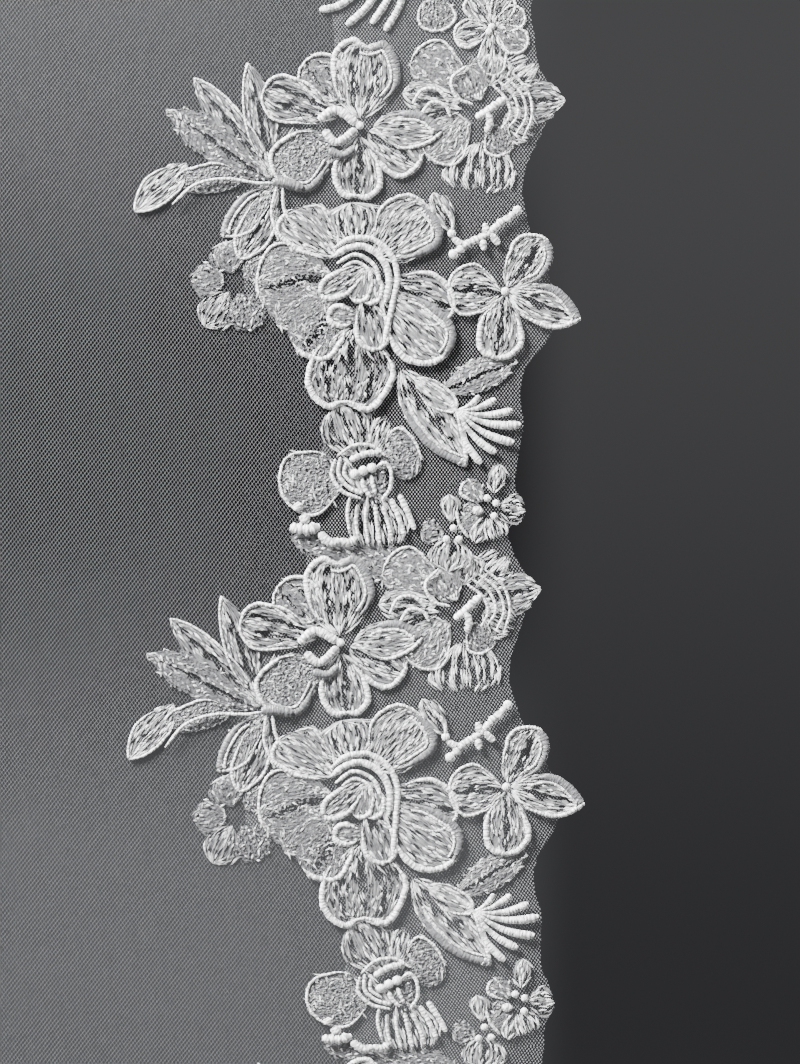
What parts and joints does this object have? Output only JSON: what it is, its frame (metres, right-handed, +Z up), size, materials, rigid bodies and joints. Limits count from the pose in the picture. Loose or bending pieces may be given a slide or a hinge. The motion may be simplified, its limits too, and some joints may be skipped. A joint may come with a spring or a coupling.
{
  "type": "bridal veil on a hair comb",
  "caption": "Fingertip bridal veil: one tier of fine tulle gathered on a hair comb and draped, open at the front, with flower lace along its edge.",
  "frame": {"origin": "middle of the comb's bar, where the wearer's hair holds the veil", "axes": "+Z up, the open front faces -Y, the comb's bar lies along X"},
  "size_m": [0.5946, 0.3705, 0.9937],
  "materials": {
    "tulle": "fine open hexagon net of thin matte thread",
    "lace": "satin embroidery thread on a fine net ground",
    "comb": "smooth clear moulded plastic"
  },
  "bodies": {
    "root": {"comb": "comb", "tulle": "tulle", "lace_01": "lace", "lace_02": "lace", "lace_03": "lace", "lace_04": "lace", "lace_05": "lace", "lace_06": "lace", "lace_07": "lace", "lace_08": "lace", "lace_09": "lace", "lace_10": "lace", "lace_11": "lace", "lace_12": "lace", "lace_13": "lace", "lace_14": "lace", "lace_15": "lace", "lace_16": "lace", "lace_17": "lace"}
  },
  "joints": []
}
